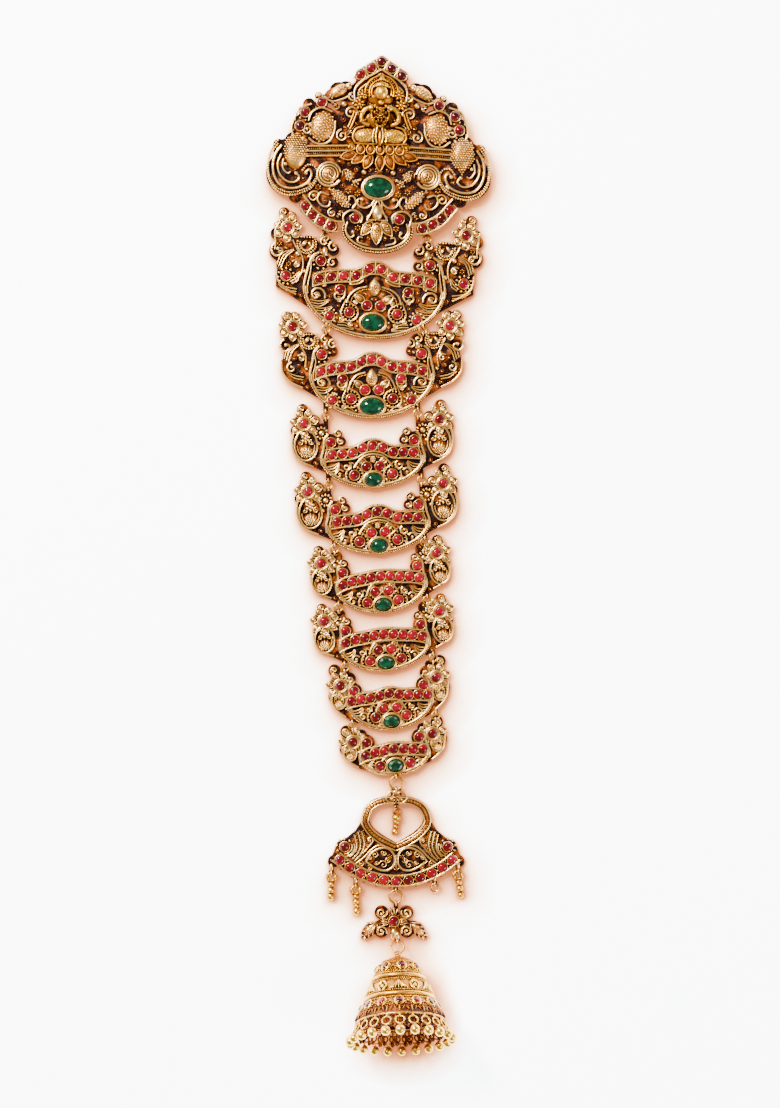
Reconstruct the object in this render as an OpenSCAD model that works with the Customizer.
// Temple-style hair braid ornament, lying flat with its back on the floor.
// Lengths are in millimetres. +Z is up, +Y runs from the bell to the crown.

/* [Stones] */
// Diameter of a round red stone
ruby_d = 3.1; // [2.9:0.05:3.15]
// Height of the straight part of a red stone
ruby_side = 1; // [0.8:0.1:1.1]
// Height of the dome on a red stone
ruby_dome = 0.9; // [0.7:0.1:1]
// Gap between a stone and its setting
stone_gap = 0.08; // [0.06:0.01:0.1]
// Height of a green stone above its seat
emerald_h = 3; // [2.4:0.1:3.4]

/* [Metal] */
// Thickness of the cast back plates
plate_t = 1.2; // [1.1:0.1:1.3]
// Top of the scroll relief above the back
relief_top = 2.2; // [2:0.1:2.3]
// Top of the settings and stone bands above the back
setting_top = 2.7; // [2.5:0.1:2.9]
// Top of the domed bodies and leaves on the crown above its back
dome_top = 3.3; // [3.1:0.1:3.6]
// Wall of a stone setting
setting_wall = 0.6; // [0.5:0.05:0.7]
// Width of a plain raised rim
rim_w = 0.9; // [0.8:0.05:1]

/* [Jump rings] */
// Radius to the middle of a side ring's wire
side_ring_r = 1.4; // [1.35:0.05:1.5]
// Wire diameter of a side ring
side_wire = 0.7; // [0.6:0.05:0.75]
// Radius to the middle of a centre ring's wire
centre_ring_r = 2.3; // [2.2:0.05:2.4]
// Wire diameter of a centre ring
centre_wire = 0.84; // [0.8:0.02:0.86]
// Wire diameter of the eyes soldered to the plates
eye_wire = 0.64; // [0.6:0.02:0.68]

/* [Hair pin] */
// Wire diameter of the hidden fork
pin_d = 1.6; // [1.4:0.1:1.6]
// Distance between the fork's legs
pin_gap = 12; // [10:0.5:14]
// Length of the fork's straight legs
pin_leg = 46; // [40:1:48]

/* [Bell] */
// Length of the bell's metal body along its axis
bell_l = 21.5; // [21:0.1:22]
// Radius of the bell at its rim
bell_r = 15.8; // [15.6:0.1:15.9]
// Thickness of the bell's wall
bell_wall = 0.9; // [0.8:0.1:1]
// Angle of the bell's axis above the floor
bell_lean = 24.5; // [24.3:0.1:24.7]
// Number of drops in the fringe
fringe_count = 22; // [18:1:22]
// Diameter of a fringe bead
bead_d = 3.5; // [3.3:0.1:3.6]

/* [Hidden] */
$fn = 48;

gold = "goldenrod";
red = "crimson";
green = "seagreen";

grip = 0.4; // how far a raised layer reaches into the plate below it
ruby_r = ruby_d / 2;
seat_r = ruby_r + stone_gap;
setting_r = seat_r + setting_wall;
band_half = 2.15; // half height of a band of stones
crown_lift = pin_d + 0.05; // the crown lies on its hair pin
side_z = plate_t + side_wire / 2 + 0.15;
centre_z = plate_t + centre_wire / 2 + 0.38;
eye_r = side_wire / 2 + eye_wire / 2 + 0.18;
big_eye_r = eye_r + 0.1;

// Crescents: centre x, centre y, turn and form
crescents = [
    [-0.5, 116.5, -2.6, 0], [-2.5, 82.5, 0.4, 1],
    [-2.4, 48.3, 1.9, 2], [-1.0, 24.6, 3.4, 2],
    [0.2, -0.7, 5.3, 3], [1.3, -21.6, 5.0, 3],
    [3.5, -45.1, 5.1, 4], [5.1, -65.3, 6.2, 5]];
function centre(i) = [crescents[i][0], crescents[i][1]];
function turn(i) = crescents[i][2];
function form(i) = crescents[i][3];

// Boat of each form: half span of the flower stones, half width, shoulder height, tip height
boats = [
    [32.1, 26.0, -20.6, -38.6], [28.3, 22.9, -17.0, -33.2],
    [24.35, 19.2, -12.6, -24.0], [20.85, 16.9, -9.4, -20.0],
    [17.3, 16.0, -6.6, -17.6], [14.4, 13.2, -5.6, -13.7]];
function span(f) = boats[f][0];
function boat_w(f) = boats[f][1];
function shoulder_y(f) = boats[f][2];
function tip_y(f) = boats[f][3];

// Stone band of each form: stones, step between stones, height at the middle, beside it and at
// the ends, and half width of the middle hump
bands = [
    [10, 4.43, -13.2, -16.4, -17.85, 5], [11, 3.65, -11.8, -14.7, -16.2, 5],
    [9, 3.65, -8.65, -11.3, -11.6, 5], [9, 3.45, -6.65, -7.3, -8.5, 5],
    [9, 3.44, -4.3, -5.4, -5.95, 3.6], [7, 3.45, -4.0, -4.6, -5.25, 3.6]];
function band_n(f) = bands[f][0];
function band_step(f) = bands[f][1];
function band_end(f) = band_step(f) * (band_n(f) - 1) / 2;
function band_y(f, x) = bands[f][3] + (bands[f][2] - bands[f][3]) * exp(-pow(abs(x) / bands[f][5], 3))
    + (bands[f][4] - bands[f][3]) * pow(abs(x) / band_end(f), 4);
function band_stones(f) = [for (i = [0 : band_n(f) - 1])
    let (x = (i - (band_n(f) - 1) / 2) * band_step(f)) [x, band_y(f, x)]];

// Green stone of each form: height of its centre, half length, half width, cut with facets or not
greens = [
    [-32.8, 4.3, 3.05, false], [-28.8, 4.4, 3.1, false],
    [-20.9, 3.2, 2.55, false], [-16.85, 3.1, 2.4, true],
    [-14.3, 3.0, 2.4, true], [-10.0, 2.9, 2.3, true]];
function green_at(f) = [0, greens[f][0]];
function green_a(f) = greens[f][1];
function green_b(f) = greens[f][2];
function green_cut(f) = greens[f][3];

// Red stones outside the band, right side only, in settings of their own
side_stones = [
    [[32.1, 0], [19.6, -11.4], [32.0, -17.4], [12.2, -21.4], [15.7, -31.1], [8.6, -29.4], [2.45, -26.7]],
    [[28.3, 0], [17.9, -10.0], [10.5, -19.0], [14.2, -26.6], [7.5, -26.1], [2.5, -22.9]],
    [[24.35, 0], [15.0, -7.1], [6.85, -19.1], [2.4, -16.2]],
    [[20.85, 0], [13.6, -4.2], [5.6, -15.7], [2.4, -12.1]],
    [[17.3, 0], [12.6, -2.3], [5.5, -12.5], [2.4, -9.5]],
    [[14.4, 0], [9.5, -0.75], [5.5, -9.65]]];

// Lobes of the right arm: x, y, radius
arm_lobes = [
    [[32.1, 0, 4.1], [33.7, 5.5, 1.9], [30.9, 4.4, 1.6], [36.1, -2.1, 2.2], [34.9, -8.1, 3.6], [31.3, -11.4, 2.0],
        [28.8, -13.1, 2.4], [32.3, -17.3, 3.5], [24.6, -6.6, 4.2], [28.4, -4.4, 2.0], [18.3, -5.1, 2.4],
        [15.4, -7.1, 2.1], [15.3, -11.6, 1.9], [19.6, -11.2, 3.2]],
    [[28.3, 0, 4.0], [30.6, 4.0, 1.8], [27.7, 4.1, 1.5], [31.3, -1.9, 1.8], [30.0, -6.1, 2.6], [28.7, -13.6, 3.9],
        [22.6, -5.6, 3.7], [16.3, -5.2, 2.6], [14.2, -8.7, 2.0], [17.9, -9.8, 3.1]],
    [[24.35, 0, 4.0], [24.8, 5.3, 2.0], [27.6, -2.3, 1.8], [24.4, -6.0, 4.5], [18.3, -2.7, 2.6], [20.6, 1.3, 1.9],
        [12.4, -4.1, 1.6], [11.2, -6.7, 1.7], [15.0, -6.9, 3.0]],
    [[20.85, 0, 4.0], [21.4, 4.5, 1.9], [23.5, -3.0, 1.9], [22.0, -6.4, 3.3], [15.4, 1.7, 2.3], [12.9, -1.1, 1.7],
        [13.6, -4.2, 2.9], [17.6, -2.6, 1.9]],
    [[17.3, 0, 4.0], [19.0, 5.7, 2.2], [19.6, -3.7, 2.4], [13.8, 2.2, 2.3], [12.6, -2.3, 2.9], [15.0, 4.9, 1.4]],
    [[14.4, 0, 4.0], [16.4, 4.0, 2.2], [17.0, -2.2, 2.5], [11.0, 2.2, 1.9], [9.5, -0.8, 2.9]]];
// Web between the arm and the boat on the right side, clockwise from the inside
arm_webs = [
    [[19, -9], [24, -6], [30, -4.5], [34, -6], [36, -10], [35.4, -16.2], [35.6, -21.0], [28.6, -25.0],
        [23.6, -28.0], [20, -24]],
    [[17, -7], [22, -4], [28.2, -3], [31, -7], [32.2, -12], [32.2, -16.4], [29.2, -19.9], [24.2, -22.6],
        [19.6, -25.4], [17, -20]],
    [[16, -5], [20, -1.5], [24.4, -3], [28.6, -7], [28.4, -11.2], [24.9, -14.2], [21.3, -15.8], [17.0, -17.8],
        [15, -12]],
    [[13, -3], [17, 0], [21, -2], [24.8, -5.2], [24.8, -8.6], [22.3, -11.4], [18.3, -13.5], [14.6, -15.6],
        [12, -10]],
    [[12, -1], [15, 2], [18, 1], [21.3, -1.2], [21.1, -5.7], [18.8, -9.4], [15.1, -12.4], [12, -14.1], [12, -7]],
    [[9, -2], [12, 1.5], [14, 1], [18.8, -0.2], [18.4, -3.8], [16.4, -7.3], [12.6, -10.0], [9, -11], [9, -5]]];
// Gaps cut through the right side, round: x, y, radius
arm_gaps = [
    [[28.2, -9.2, 0.8], [25.2, -15.4, 0.7], [22.6, -11.2, 0.6]], [[24.7, -9.9, 0.8], [23.4, -15.2, 0.5]],
    [[19.5, -7.2, 0.6]], [[18.2, -6.3, 0.6]], [[16.6, -4.0, 0.5]], []];

// Curls inside the right half of the boat: x, y, radius
boat_curls = [
    [[20.6, -24.3, 3.1], [12.2, -24.3, 2.2], [5.6, -23.8, 2.4], [19.2, -29.0, 1.6], [8.5, -24.9, 1.3]],
    [[18.0, -20.6, 2.9], [10.6, -22.2, 2.0], [5.3, -20.2, 2.1], [16.9, -25.0, 1.5]],
    [[14.3, -16.8, 2.9], [9.6, -14.9, 1.8], [10.6, -19.4, 1.3]],
    [[12.6, -12.3, 2.4], [8.0, -11.9, 1.8], [9.6, -15.6, 1.2]],
    [[10.9, -9.7, 2.1], [7.1, -8.8, 1.4]],
    [[9.3, -8.6, 2.0]]];

// Jump rings between the plaques: left x, left y, right x, right y
side_links = [
    [-19.3, 114.6, 17.5, 113.8], [-18.8, 81.7, 16.0, 81.2], [-19.0, 50.6, 14.1, 51.3],
    [-18.0, 25.6, 15.4, 27.2], [-15.8, 2.6, 16.6, 5.0], [-14.4, -18.5, 17.4, -15.9],
    [-12.2, -40.0, 19.6, -36.6], [-9.4, -61.0, 20.45, -57.3]];
function link_at(i, side) = side < 0 ? [side_links[i][0], side_links[i][1]]
    : [side_links[i][2], side_links[i][3]];
fan_link = [6.35, -81.45];
spacer_link = [6.2, -122.3];
bell_top = [6.9, -144.31, 6.42];
bell_turn = 2.5; // the bell points a little to the right
bell_eye_s = -2.25; // the eye stands above the bell's top, along the axis
bell_axis = [sin(bell_turn) * cos(bell_lean), -cos(bell_turn) * cos(bell_lean), sin(bell_lean)];
bell_eye = bell_top + bell_eye_s * bell_axis;
bell_link_tilt = 30; // the last ring climbs from the flower to the bell
bell_link_step = centre_ring_r * [0, cos(bell_link_tilt), -sin(bell_link_tilt)];
bell_link = bell_eye + bell_link_step;
flower_eye = bell_link + bell_link_step;

// A point at distance r and angle a
function polar(r, a) = [r * cos(a), r * sin(a)];
// A smooth curve from p to q, pulled towards c
function bend(p, c, q, n = 6) = [for (i = [0 : n])
    let (t = i / n) (1 - t) * (1 - t) * p + 2 * t * (1 - t) * c + t * t * q];
function mirrored(list) = [for (i = [len(list) - 1 : -1 : 0]) [-list[i][0], list[i][1]]];

module both() {
    children();
    mirror([1, 0]) children();
}

module layer(low, high) {
    translate([0, 0, low]) linear_extrude(high - low) children();
}

module disc(at, r) {
    translate(at) circle(r);
}

module ring(at, r, w) {
    difference() {
        disc(at, r);
        disc(at, r - w);
    }
}

module oval(at, a, b, n = 20) {
    translate(at) polygon([for (i = [0 : n - 1]) [a * cos(360 * i / n), b * sin(360 * i / n)]]);
}

// A leaf between two points, w wide at its middle
module leaf(p, q, w) {
    d = q - p;
    side = [-d[1], d[0]] / norm(d) * w;
    middle = (p + q) / 2;
    out = bend(p, middle + side, q, 4);
    back = bend(q, middle - side, p, 4);
    polygon(concat(out, [for (i = [1 : 3]) back[i]]));
}

// A closed curl: a ring with a round boss towards one side of its middle
module curl(at, r, w, way = 90) {
    ring(at, r, w);
    disc(at + polar(r * 0.2, way), r * 0.28);
}

module petals(at, reach, r, count) {
    for (k = [0 : count - 1]) disc(at + polar(reach, 90 + 360 * k / count), r);
}

// Round red stone, standing on its seat
module ruby(d = ruby_d, side = ruby_side, dome = ruby_dome) {
    r = d / 2;
    ball = (r * r + dome * dome) / (2 * dome);
    intersection() {
        cylinder(h = side + dome, r = r);
        translate([0, 0, side + dome - ball]) sphere(ball);
    }
}

module rubies(points, seat) {
    color(red) for (p = points) translate([p[0], p[1], seat]) ruby();
}

// Share of the height and share of the width at each level of a green stone
dome_steps = [[0, 1], [0.35, 1], [0.7, 0.82], [0.96, 0.4]];
cut_steps = [[0, 0.9], [0.35, 1], [0.75, 0.8], [0.95, 0.58]];

module green_stone(a, b, h, cut) {
    sides = cut ? 12 : 18;
    color(green) hull() for (s = cut ? cut_steps : dome_steps)
        translate([0, 0, s[0] * h]) linear_extrude(0.05) oval([0, 0], a * s[1], b * s[1], sides);
}

// A ring of wire lying flat
module flat_ring(at, r, wire) {
    translate(at) rotate_extrude() translate([r, 0]) circle(wire / 2);
}

// An upright eye that a flat ring passes through
module eye(at, z, r, wire = eye_wire) {
    translate([at[0], at[1], z]) rotate([0, 90, 0]) rotate_extrude()
        translate([r, 0]) circle(wire / 2);
}

// A tongue of plate below an eye; side is 1 above the ring and -1 below it
module tongue(at, ring_r, side, reach, turned = 0) {
    translate([at[0], at[1] + side * ring_r]) rotate(turned) translate([0, side * reach / 2])
        square([1.7, reach], center = true);
}

// Lower edge of a boat, drawn in by inset
function boat_low(f, inset, n = 14) = [for (i = [0 : n]) let (a = 180 * i / n)
    [(boat_w(f) - inset) * cos(a), shoulder_y(f) - (shoulder_y(f) - tip_y(f) - inset) * pow(sin(a), 1.05)]];
// Points along the stone band, raised by lift
function band_line(f, lift, n = 16) = let (end = band_end(f) + 2.4) [for (i = [0 : n])
    let (x = end * (2 * i / n - 1)) [x, band_y(f, x) + lift]];
function reversed(list) = [for (i = [len(list) - 1 : -1 : 0]) list[i]];

module crescent_boat(f) {
    corner = [boat_w(f) * 0.985, band_y(f, band_end(f)) - 0.4];
    polygon(concat(boat_low(f, 0), [[-corner[0], corner[1]]], band_line(f, band_half), [corner]));
}

module crescent_band(f) {
    polygon(concat(band_line(f, band_half - 0.25), reversed(band_line(f, -band_half))));
}

module crescent_outline(f) {
    difference() {
        union() {
            crescent_boat(f);
            both() {
                polygon(arm_webs[f]);
                for (l = arm_lobes[f]) disc([l[0], l[1]], l[2]);
            }
        }
        both() for (g = arm_gaps[f]) disc([g[0], g[1]], g[2]);
    }
}

// Rims, curls and petals, below the settings
module crescent_relief(f) {
    polygon(concat(boat_low(f, 0.12), reversed(boat_low(f, 0.12 + rim_w))));
    both() {
        petals([span(f), 0], 2.9, 1.0, 7);
        for (l = arm_lobes[f]) if (norm([l[0] - span(f), l[1]]) > 1)
            ring([l[0], l[1]], l[2] - 0.12, 0.65);
        for (c = boat_curls[f]) curl([c[0], c[1]], c[2], 0.6);
        leaf([1.6, band_y(f, 0) - 3.4], [7.5, band_y(f, 7) - 4.2], 1.1);
    }
}

function all_stones(f) = concat(band_stones(f), side_stones[f],
    [for (p = side_stones[f]) [-p[0], p[1]]]);

module crescent_settings(f) {
    crescent_band(f);
    both() for (p = side_stones[f]) disc(p, setting_r);
    oval(green_at(f), green_a(f) + stone_gap + setting_wall, green_b(f) + stone_gap + setting_wall);
}

module crescent_seats(f) {
    for (p = all_stones(f)) disc(p, seat_r);
    oval(green_at(f), green_a(f) + stone_gap, green_b(f) + stone_gap);
}

module placed(i) {
    translate(centre(i)) rotate(turn(i)) children();
}

// Room for the jump rings above and below a plaque
module ring_room(i) {
    for (side = [-1, 1], k = [i : i + 1]) if (k < 8)
        disc(link_at(k, side), side_ring_r + side_wire / 2 + 0.15);
    disc(fan_link, centre_ring_r + centre_wire / 2 + 0.15);
}

module crescent(i) {
    f = form(i);
    color(gold) {
        layer(0, plate_t) {
            placed(i) crescent_outline(f);
            for (side = [-1, 1]) {
                tongue(link_at(i, side), side_ring_r, -1, 3.4, turn(i));
                if (i < 7) tongue(link_at(i + 1, side), side_ring_r, 1, 3.6, turn(i));
            }
            if (i == 7) tongue(fan_link, centre_ring_r, 1, 3.4);
        }
        layer(plate_t - grip, relief_top) difference() {
            placed(i) crescent_relief(f);
            placed(i) crescent_seats(f);
            ring_room(i);
        }
        layer(plate_t - grip - 0.1, setting_top) difference() {
            placed(i) crescent_settings(f);
            placed(i) crescent_seats(f);
            ring_room(i);
        }
        for (side = [-1, 1]) {
            eye(link_at(i, side) - [0, side_ring_r], side_z, eye_r);
            if (i < 7) eye(link_at(i + 1, side) + [0, side_ring_r], side_z, eye_r);
        }
        if (i == 7) eye(fan_link + [0, centre_ring_r], centre_z, big_eye_r);
    }
}

module crescent_stones(i) {
    translate(concat(centre(i), 0)) rotate(turn(i)) rubies(all_stones(form(i)), plate_t + stone_gap);
}

module crescent_green(i) {
    f = form(i);
    translate([centre(i)[0], centre(i)[1], plate_t + stone_gap]) rotate(turn(i))
        translate(green_at(f)) green_stone(green_a(f), green_b(f), emerald_h, green_cut(f));
}

// Crown, measured from its green stone
crown_at = [-0.13, 131.9];
crown_turn = -1.7;
crown_green_a = 5.0;
crown_green_b = 3.6;
crown_stones_right = [[3.7, 42.9], [7.4, 40.4], [21.1, 30.1], [26.9, 26.4], [28.6, 21.4],
    [25.8, -7.3], [23.2, -10.4], [20.0, -12.6], [16.4, -14.1], [7.9, -11.1]];
crown_stones = concat([[0, 45.4]], crown_stones_right, mirrored(crown_stones_right));
// Lobes of the crown's right half: x, y, radius
crown_lobes = [
    [32.4, 4.5, 8.0], [32.3, 11.6, 5.6], [30.4, 16.0, 3.6], [28.8, 20.9, 3.0], [36.0, 14.6, 2.2],
    [20.6, 21.6, 7.2], [22.3, 32.6, 1.4], [15.2, 34.4, 3.4], [12.6, 35.0, 3.2], [17.6, 32.6, 2.6],
    [9.6, 33.0, 3.0], [10.2, 26.6, 3.2], [13.6, 24.6, 3.0], [17.7, 4.4, 5.2], [24.6, -1.6, 4.2],
    [21.6, -4.6, 3.4], [29.6, -3.6, 2.4], [7.6, 30.0, 3.4], [25.6, 29.4, 2.3]];
crown_holes = [[13.1, 29.8, 0.8], [24.9, 1.0, 0.8], [5.2, 5.6, 0.7]];
medallion_at = [0.3, -15.0];
medallion_a = 13.0;
medallion_b = 8.5;

module crown_outline() {
    difference() {
        union() {
            polygon([[-26, -6], [-16, -12], [16, -12], [26, -6], [26, 16], [14, 30], [9, 38.6], [0, 43],
                [-9, 38.6], [-14, 30], [-26, 16]]);
            oval(medallion_at, medallion_a, medallion_b);
            for (p = crown_stones) disc(p, setting_r + 0.1);
            both() {
                for (l = crown_lobes) disc([l[0], l[1]], l[2]);
                leaf([27.6, 25.4], [30.4, 23.4], 2.6);
            }
        }
        both() for (h = crown_holes) disc([h[0], h[1]], h[2]);
    }
}

module crown_relief() {
    difference() {
        oval(medallion_at, medallion_a - 0.15, medallion_b - 0.15);
        oval(medallion_at, medallion_a - 1.0, medallion_b - 1.0);
    }
    both() {
        ring([32.4, 4.5], 7.85, 0.8);
        ring([33.0, 3.6], 5.6, 0.8);
        ring([31.4, 2.6], 3.0, 0.8);
        ring([17.7, 4.4], 5.0, 0.8);
        ring([24.4, -1.9], 3.6, 0.7);
        curl([10.4, 26.6], 2.9, 0.7, 30);
        curl([10.0, 33.0], 2.2, 0.6, 120);
        curl([12.0, -4.4], 2.2, 0.6, 200);
        curl([16.9, -8.3], 2.1, 0.6, 20);
        curl([6.0, -17.4], 2.2, 0.6, 60);
        ring([28.8, 20.9], 2.8, 0.6);
        leaf([12.8, 12.7], [25.8, 12.9], 1.0);
    }
}

// The pointed arch behind the figure and the settings
module crown_settings() {
    half_arch = bend([9.4, 31], [10, 37.6], [0, 43.2], 8);
    inner_arch = bend([8.1, 31], [8.6, 36.6], [0, 41.4], 8);
    both() polygon(concat(half_arch, [for (i = [8 : -1 : 0]) inner_arch[i]]));
    for (p = crown_stones) disc(p, setting_r);
    oval([0, 0], crown_green_a + stone_gap + setting_wall, crown_green_b + stone_gap + setting_wall);
    both() {
        translate([18.3, 14.3]) square([14.6, 1.5], center = true);
        translate([18.5, 11.2]) square([14.6, 1.5], center = true);
        leaf([16.8, -0.6], [9.9, -7.4], 3.4);
        disc([10.4, 4.4], 1.7);
        disc([8.4, 1.6], 1.4);
    }
    leaf([0, -8.6], [0, -20.4], 5.2);
    polygon([[-3.2, -10.8], [3.2, -10.8], [0, -6.6]]);
}

module crown_seats() {
    for (p = crown_stones) disc(p, seat_r);
    oval([0, 0], crown_green_a + stone_gap, crown_green_b + stone_gap);
}

// Dotted bodies, pods and coils, domed in two steps
module crown_domes(shrink) {
    both() {
        oval([29.9, 12.4], 4.3 - shrink, 6.1 - shrink);
        oval([20.6, 21.2], 5.2 - shrink, 6.4 - shrink);
        disc([17.7, 4.4], 3.6 - shrink);
        translate([15.1, 34.3]) rotate(-32) oval([0, 0], 4.1 - shrink, 2.5 - shrink);
    }
}

module crown_plate() {
    color(gold) translate([crown_at[0], crown_at[1], crown_lift]) difference() {
        union() {
            rotate(crown_turn) layer(0, plate_t) crown_outline();
            rotate(crown_turn) layer(plate_t - grip, relief_top) difference() {
                crown_relief();
                crown_seats();
            }
            rotate(crown_turn) layer(plate_t - grip - 0.1, setting_top) difference() {
                union() {
                    crown_settings();
                    crown_domes(0);
                }
                crown_seats();
            }
            rotate(crown_turn) layer(plate_t, dome_top) difference() {
                crown_domes(0.9);
                crown_seats();
            }
        }
        for (side = [-1, 1]) {
            at = link_at(0, side) - crown_at;
            translate([at[0], at[1], -1])
                cylinder(h = dome_top + 2, r = side_ring_r + side_wire / 2 + 0.15);
        }
    }
    color(gold) for (side = [-1, 1]) {
        at = link_at(0, side) + [0, side_ring_r];
        eye(at, side_z, eye_r);
        translate([at[0] - 0.9, at[1] + 0.6, crown_lift + 0.02]) cube([1.8, 3.4, plate_t]);
    }
}

module crown_green() {
    translate([crown_at[0], crown_at[1], crown_lift + plate_t + stone_gap]) rotate(crown_turn)
        green_stone(crown_green_a, crown_green_b, emerald_h, false);
}

module crown_rubies() {
    translate([crown_at[0], crown_at[1], crown_lift]) rotate(crown_turn)
        rubies(crown_stones, plate_t + stone_gap);
}

// Seated figure on a lotus, measured from the middle of its seat
figure_at = [0, 14.2];
// Halo, back of the body, lotus seat and its hanging petals
module figure_back() {
    disc([0, 19.3], 4.7);
    disc([0, 10.8], 4.6);
    translate([0, 0.3]) square([18.6, 2.9], center = true);
    both() disc([9.2, 0.35], 1.7);
    for (k = [-3 : 3]) leaf([k * 2.9, -0.4], [k * 3.3, -6.2 + 0.25 * k * k], 1.9);
}

// Crossed legs, arms, body, tall crown and the seat's front rim
module figure_front() {
    translate([0, 0.1]) square([17.4, 1.5], center = true);
    both() {
        leaf([1.2, 4.2], [9.2, 3.0], 2.7);
        leaf([8.6, 2.7], [0.5, 1.5], 2.0);
        leaf([2.7, 14.8], [6.3, 9.3], 1.9);
        leaf([6.1, 8.8], [3.9, 13.9], 1.5);
    }
    polygon([[-2.4, 3.9], [2.4, 3.9], [2.7, 8], [3.7, 13.4], [1.6, 15.4], [1.4, 17.2],
        [-1.4, 17.2], [-1.6, 15.4], [-3.7, 13.4], [-2.7, 8]]);
    leaf([0, 20.4], [0, 25.6], 2.8);
}

module seated_figure() {
    color(gold) translate([crown_at[0], crown_at[1], crown_lift + plate_t + 0.05]) rotate(crown_turn)
        translate(figure_at) {
            layer(0, 1.5) figure_back();
            layer(1.1, 3.1) figure_front();
            translate([0, 19.2, 2.7]) sphere(2.5);
            translate([0, 12.2, 2.9]) sphere(2.7);
            for (s = [-1, 1]) {
                translate([s * 4.3, 12.9, 3.2]) sphere(1.2);
                translate([s * 7.0, 3.2, 2.6]) sphere(1.6);
            }
        }
}

module hair_pin() {
    bend_y = 28;
    color(gold) translate([crown_at[0], crown_at[1], pin_d / 2]) rotate(crown_turn) {
        for (s = [-1, 1]) translate([s * pin_gap / 2, bend_y, 0]) rotate([90, 0, 0])
            cylinder(h = pin_leg, r = pin_d / 2);
        translate([0, bend_y, 0]) rotate_extrude(angle = 180) translate([pin_gap / 2, 0])
            circle(pin_d / 2);
    }
}

// Fan, measured from the ends of its row of stones
fan_at = [6.35, -109];
fan_row_r = 30.6;
fan_row_y = 22.8;
fan_row_step = 8.25;
fan_row = [for (k = [-5 : 5]) [0, fan_row_y] + polar(fan_row_r, -90 + k * fan_row_step)];
fan_side = [18.5, 4.6];
fan_stones = concat(fan_row, [fan_side, [-fan_side[0], fan_side[1]]]);
// Loops of the fan's drops: x, y
left_outer_loop = [-16.9, -115.3];
left_inner_loop = [-8.2, -119.9];
right_inner_loop = [20.2, -119.2];
right_outer_loop = [28.6, -114.6];
drop_loops = [left_outer_loop, left_inner_loop, right_inner_loop, right_outer_loop];
heart_loop = [6.6, -91.6];
heart_ring_r = 0.85;
heart_z = 1.1;

heart_outer = concat(bend([0, 22.6], [-12.4, 23.4], [-12.6, 13.6], 8), bend([-12.6, 13.4], [-12.4, 9], [-0.2, 2.7], 6));
heart_inner = concat(bend([0, 19.2], [-3, 20.8], [-6.4, 19.6], 4), bend([-6.6, 19.5], [-9.9, 18], [-9.7, 14.2], 5),
    bend([-9.6, 13.8], [-9.2, 10.6], [0, 5.9], 5));

module heart(points) {
    polygon(concat(points, mirrored(points)));
}

module fan_outline() {
    edge = [for (k = [-8 : 8]) [0, fan_row_y] + polar(fan_row_r + 2.2, -90 + k * 5.25)];
    difference() {
        union() {
            polygon(concat(edge, [[22.9, 1.6], [21.2, 6.2], [18.2, 7.4], [14.6, 10.4], [12.6, 13.6], [-12.6, 13.6],
                [-14.6, 10.4], [-18.2, 7.4], [-21.2, 6.2], [-22.9, 1.6]]));
            heart(heart_outer);
            polygon([[-2.3, 21], [2.3, 21], [1.7, 25.4], [-1.7, 25.4]]);
            both() disc([22.4, -0.7], 2.2);
        }
        heart(heart_inner);
        both() leaf([8.6, 4.6], [12.4, 5.4], 1.2);
    }
    leaf([0, 21], [0, 18.7], 2.4);
}

module fan_relief() {
    difference() {
        heart(heart_outer * 0.99);
        heart([for (p = heart_inner) [p[0] * 1.03, 13 + (p[1] - 13) * 1.04]]);
    }
    both() {
        ring([4.4, 0.4], 3.9, 0.7);
        disc([4.4, 0.4], 1.3);
        for (k = [0 : 3]) leaf([12.6 + 0.3 * k, 10.2 - 0.5 * k], [11.8 + 2.6 * k, -1.4 + 1.1 * k], 0.9);
    }
    leaf([0, -4.6], [0, 2.2], 1.4);
}

// Stretch of ring between two radii, under and around the row of stones
module fan_settings() {
    inner = [for (k = [8 : -1 : -8]) [0, fan_row_y] + polar(fan_row_r - 2.1, -90 + k * 5.2)];
    outer = [for (k = [-8 : 8]) [0, fan_row_y] + polar(fan_row_r + 2.0, -90 + k * 5.2)];
    polygon(concat(outer, inner));
    both() disc(fan_side, setting_r);
    polygon([[-2.1, 21.2], [2.1, 21.2], [1.5, 25.2], [-1.5, 25.2]]);
}

module fan_ring_room() {
    disc(fan_link, centre_ring_r + centre_wire / 2 + 0.15);
    disc(spacer_link, centre_ring_r + centre_wire / 2 + 0.15);
    disc(heart_loop, 1.25);
    for (p = drop_loops) disc(p, side_ring_r + side_wire / 2 + 0.15);
}

module fan_plate() {
    color(gold) {
        layer(0, plate_t) {
            translate(fan_at) fan_outline();
            tongue(fan_link, centre_ring_r, -1, 3);
            tongue(spacer_link, centre_ring_r, 1, 3.6);
            for (p = drop_loops) tongue(p, side_ring_r, 1, 4.4);
        }
        layer(plate_t - grip, relief_top) difference() {
            translate(fan_at) fan_relief();
            translate(fan_at) for (p = fan_stones) disc(p, seat_r);
            fan_ring_room();
        }
        layer(plate_t - grip - 0.1, setting_top) difference() {
            translate(fan_at) fan_settings();
            translate(fan_at) for (p = fan_stones) disc(p, seat_r);
            fan_ring_room();
        }
        eye(fan_link - [0, centre_ring_r], centre_z, big_eye_r);
        eye(spacer_link + [0, centre_ring_r], centre_z, big_eye_r);
        for (p = drop_loops) eye(p + [0, side_ring_r], side_z, eye_r);
        eye(heart_loop + [0, heart_ring_r], heart_z, 0.6, 0.4);
    }
}

module fan_rubies() {
    translate(fan_at) rubies(fan_stones, plate_t + stone_gap);
}

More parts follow.
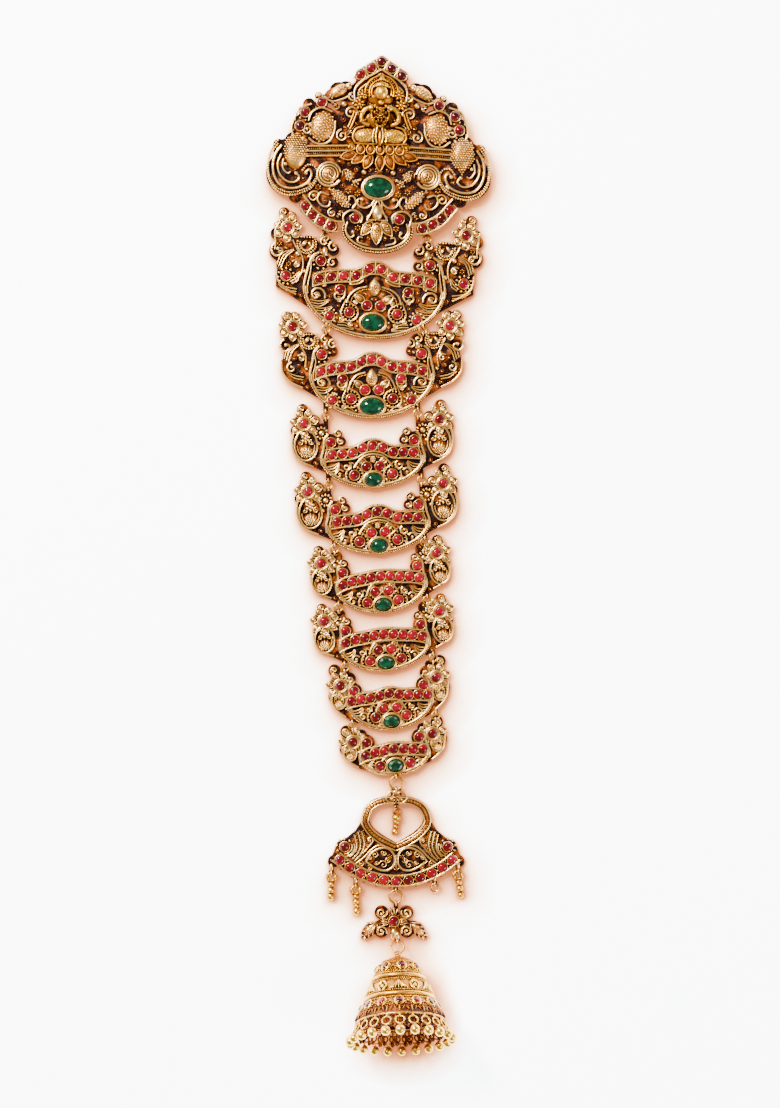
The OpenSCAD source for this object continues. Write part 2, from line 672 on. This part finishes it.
// A loop, a stem and a ball, lying on the floor
module drop(loop, ball, ball_r) {
    flat_ring([loop[0], loop[1], side_z], side_ring_r, side_wire);
    d = ball - loop;
    start = loop + d / norm(d) * side_ring_r;
    stem = norm(ball - start);
    turn_z = atan2(d[1], d[0]);
    translate([start[0], start[1], side_z]) rotate([0, 90, turn_z])
        cylinder(h = stem, r = 0.55);
    translate([start[0], start[1], side_z]) rotate([0, 0, turn_z])
        translate([stem * 0.45, 0, 0]) sphere(0.85);
    translate([ball[0], ball[1], ball_r]) sphere(ball_r);
}

module heart_drop() {
    end = [5.9, -100.0];
    color(gold) {
        flat_ring([heart_loop[0], heart_loop[1], heart_z], heart_ring_r, 0.6);
        translate([heart_loop[0], heart_loop[1] - heart_ring_r, heart_z]) rotate([90, 0, -4]) {
            cylinder(h = 6.6, r = 0.5);
            translate([0, 0, 1.8]) sphere(1.05);
            translate([0, 0, 4.2]) sphere(0.8);
        }
        translate([end[0] + 0.15, end[1] + 1.1, 1.2]) sphere(1.2);
    }
}

// Flower spacer, measured from its stone
spacer_at = [5.55, -131.2];
spacer_lobes = [[4.5, 3.1], [4.6, -3.6]];

module spacer_flower() {
    color(gold) {
        layer(0, plate_t) {
            translate(spacer_at) {
                both() {
                    for (p = spacer_lobes) disc(p, 2.45);
                    leaf([4.4, 0.6], [11.9, -6.2], 2.4);
                }
                disc([0, 0], 3.4);
                leaf([0, 5.2], [0, -7.4], 3.4);
            }
            tongue(spacer_link, centre_ring_r, -1, 4);
            tongue(flower_eye, 0, 1, 4);
        }
        layer(0, relief_top) tongue(flower_eye, 0, 1, 3.4);
        layer(plate_t - grip, relief_top) difference() {
            translate(spacer_at) {
                both() {
                    for (p = spacer_lobes) {
                        ring(p, 2.33, 0.6);
                        disc(p, 0.9);
                    }
                    leaf([6.6, -1.0], [11.4, -5.8], 1.1);
                    leaf([1.4, -0.6], [5.2, -0.2], 1.0);
                }
                leaf([0, -2.2], [0, -6.6], 1.6);
                leaf([0, 2.2], [0, 4.8], 1.6);
            }
            translate(spacer_at) disc([0, 0], seat_r);
            disc(spacer_link, centre_ring_r + centre_wire / 2 + 0.15);
            disc([bell_link[0], bell_link[1]], centre_ring_r + centre_wire / 2 + 0.15);
        }
        layer(plate_t - grip - 0.1, setting_top) translate(spacer_at) ring([0, 0], setting_r, setting_wall);
        eye(spacer_link - [0, centre_ring_r], centre_z, big_eye_r);
        eye(flower_eye, flower_eye[2], big_eye_r);
    }
}

module spacer_ruby() {
    rubies([spacer_at], plate_t + stone_gap);
}

// Bell, measured along its axis from its top
// Outer profile: distance along the axis, radius
bell_tiers = [[-1.1, 1.6], [-0.6, 3.8], [1.4, 6.3], [6.9, 9.3], [6.9, 9.95], [8.0, 9.95], [8.0, 9.6], [14.0, 12.2],
    [14.0, 12.9], [15.1, 12.9], [15.1, 12.4]];
bead_s = 28.7;
bead_ring_r = 18;
bell_stone_d = 2.4;
bell_socket = 0.5; // depth of the sockets for the bell's stones
// Rows of stones: distance along the axis, radius of the wall there, count, turn, slope of the wall
bell_rows = [[3.6, 7.5, 8, 12, 28.6], [17.6, 13.73, 14, 0, 28]];

module on_bell() {
    translate(bell_top) rotate([90 - bell_lean, 0, bell_turn]) children();
}

module bell() {
    outside = concat(bell_tiers, [[bell_l, bell_r]]);
    inside = [[bell_l, bell_r - bell_wall], [17.6, 12.3], [15.1, 11.0], [8.0, 8.2], [3.6, 6.0],
        [1.2, 4.2], [0.5, 0]];
    color(gold) on_bell() {
        difference() {
            rotate_extrude() polygon(concat([[0, bell_tiers[0][0]]],
                [for (p = outside) [p[1], p[0]]], [for (p = inside) [p[1], p[0]]]));
            for (k = [0, 1]) on_row(k) translate([0, 0, -bell_socket])
                cylinder(h = 2, r = bell_stone_d / 2 + stone_gap);
        }
        translate([0, 0, bell_eye_s]) rotate([0, 90, -bell_turn]) rotate_extrude()
            translate([big_eye_r, 0]) circle(eye_wire / 2);
        translate([0, 0, bell_tiers[0][0]]) sphere(0.6);
    }
}

// Places on a row of the bell's stones, each facing straight out of the wall
module on_row(k) {
    row = bell_rows[k];
    for (i = [0 : row[2] - 1]) rotate(row[3] + 360 * (i + 0.5) / row[2])
        translate([row[1], 0, row[0]]) rotate([0, 90 + row[4], 0]) children();
}

module bell_rubies() {
    color(red) on_bell() for (k = [0, 1]) on_row(k)
        translate([0, 0, stone_gap - bell_socket]) ruby(bell_stone_d, 0.6, 0.65);
}

// Ring of wire behind the rim with hanging drops: stem, loop and bead
module bell_fringe() {
    loop_r = 1.6;
    loop_at = 2.9;
    wire = 0.6;
    rim = [bell_r - 0.4, bell_l + 0.75];
    lean = atan2(bead_ring_r - rim[0], bead_s - rim[1]);
    reach = norm([bead_ring_r - rim[0], bead_s - rim[1]]);
    color(gold) on_bell() {
        translate([0, 0, rim[1]]) rotate_extrude() translate([rim[0], 0]) circle(0.42);
        for (i = [0 : fringe_count - 1]) rotate(360 * (i + 0.5) / fringe_count)
            translate([rim[0], 0, rim[1]]) rotate([0, lean, 0]) {
                cylinder(h = loop_at - loop_r + 0.1, r = wire / 2 + 0.02);
                translate([0, 0, loop_at]) rotate([0, 90, 0])
                    rotate_extrude() translate([loop_r, 0]) circle(wire / 2);
                translate([0, 0, loop_at + loop_r - 0.1]) cylinder(h = 1.2, r = wire / 2 + 0.1);
                translate([0, 0, reach]) sphere(bead_d / 2);
            }
    }
}

module side_link(i, side) {
    at = link_at(i, side);
    color(gold) flat_ring([at[0], at[1], side_z], side_ring_r, side_wire);
}

module centre_link(at) {
    color(gold) flat_ring([at[0], at[1], centre_z], centre_ring_r, centre_wire);
}

module bell_ring() {
    color(gold) translate(bell_link) rotate([-bell_link_tilt, 0, 0])
        flat_ring([0, 0, 0], centre_ring_r, centre_wire);
}

crown_plate();
seated_figure();
crown_green();  // crown_emerald
crown_rubies();
hair_pin();
for (i = [0 : 7]) {
    crescent(i);
    crescent_green(i);
    crescent_stones(i);
    side_link(i, -1);
    side_link(i, 1);
}
centre_link(fan_link);  // link_fan
centre_link(spacer_link);  // link_spacer
bell_ring();  // link_bell
fan_plate();
fan_rubies();
heart_drop();
color(gold) drop(left_outer_loop, [-17.1, -122.4], 1.5);  // drop_left_outer
color(gold) drop(left_inner_loop, [-7.8, -127.6], 1.65);  // drop_left_inner
color(gold)  // loop_right_inner
    flat_ring(concat(right_inner_loop, side_z), side_ring_r, side_wire);
color(gold) drop(right_outer_loop, [29.6, -121.8], 1.3);  // drop_right_outer
spacer_flower();
spacer_ruby();
bell();
bell_rubies();
bell_fringe();
